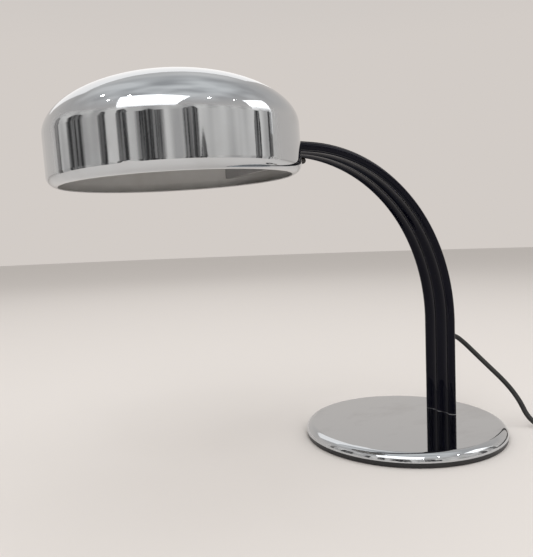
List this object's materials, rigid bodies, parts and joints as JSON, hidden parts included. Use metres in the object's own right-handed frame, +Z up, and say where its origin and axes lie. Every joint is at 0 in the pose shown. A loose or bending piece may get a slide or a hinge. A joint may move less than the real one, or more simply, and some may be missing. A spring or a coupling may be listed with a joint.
{
  "type": "arc table lamp",
  "caption": "Arc table lamp: a low domed shade tilts at the head of a fluted arm that curves over from a heavy round base, with a toggle switch and a mains lead.",
  "frame": {"origin": "centre of the base's underside, on the table", "axes": "+Z up, the arm's plane is XZ, the shade hangs out over -X and the mains lead leaves the arm on the +X side"},
  "size_m": [0.668, 0.3101, 0.3985],
  "materials": {
    "chrome_lid": "mirror-polished plating",
    "chrome_shade": "mirror-polished plating outside, satin grey paint inside",
    "black_plinth": "fine satin moulding",
    "cast_weight": "as cast, blackened",
    "zinc_sheet": "zinc plated",
    "grey_felt": "pressed felt",
    "black_arm": "gloss black",
    "black_block": "black anodised",
    "steel_hardware": "zinc plated",
    "black_rubber": "satin",
    "wire_sleeve": "smooth sleeve",
    "grey_partition": "satin grey paint",
    "black_bakelite": "moulded thermoset",
    "ceramic": "unglazed white ceramic",
    "brass_contact": "stamped",
    "cap_metal": "rolled sheet",
    "black_glass": "fused black glass",
    "bulb_glass": "frosted inside",
    "white_block": "moulded",
    "fibre_washer": "pressed fibre"
  },
  "bodies": {
    "stand": {"felt_pad": "grey_felt", "bottom_plate": "zinc_sheet", "plate_screws": "steel_hardware", "base_weight": "cast_weight", "plinth": "black_plinth", "base_lid": "chrome_lid", "foot_screws": "steel_hardware", "foot_washers": "steel_hardware", "arm": "black_arm", "arm_wires": "wire_sleeve", "cord_gland": "black_rubber", "cord_end": "black_rubber", "arm_end_block": "black_block", "arm_end_screws": "steel_hardware", "hinge_spacers": "steel_hardware", "cord_lead": "black_rubber", "cord_coil": "black_rubber", "cord_tail": "black_rubber", "plug_body": "black_rubber", "plug_pins": "brass_contact"},
    "head": {"hinge_bolt": "steel_hardware", "hinge_nut": "steel_hardware", "spring_washer": "steel_hardware", "friction_washers": "fibre_washer", "shade": "chrome_shade", "partition_plate": "grey_partition", "hinge_bracket": "zinc_sheet", "bracket_rivets": "cap_metal", "shade_screws": "steel_hardware", "shade_screw_nuts": "steel_hardware", "holder_nipple": "steel_hardware", "nipple_nut": "steel_hardware", "holder_cap": "black_bakelite", "holder_shell": "black_bakelite", "holder_insulator": "ceramic", "thread_shell": "brass_contact", "centre_contact": "brass_contact", "bulb_contact": "cap_metal", "bulb_insulator": "black_glass", "bulb_cap": "cap_metal", "bulb_glass": "bulb_glass", "terminal_block": "white_block", "switch_body": "black_bakelite", "switch_contacts": "brass_contact", "switch_collar": "steel_hardware", "switch_nut": "steel_hardware", "head_wires": "wire_sleeve"},
    "lever": {"switch_lever": "black_bakelite"}
  },
  "joints": [
    {"name": "shade_tilt", "type": "hinge", "parent": "stand", "child": "head", "pos_m": [-0.182, 0, 0.3375], "axis": [0, 1, 0], "range_deg": [-3, 20]},
    {"name": "switch_toggle", "type": "hinge", "parent": "head", "child": "lever", "pos_m": [-0.16596, 0, 0.32412], "axis": [-0.0393, 0, 0.9992], "range_deg": [0, 24]}
  ]
}
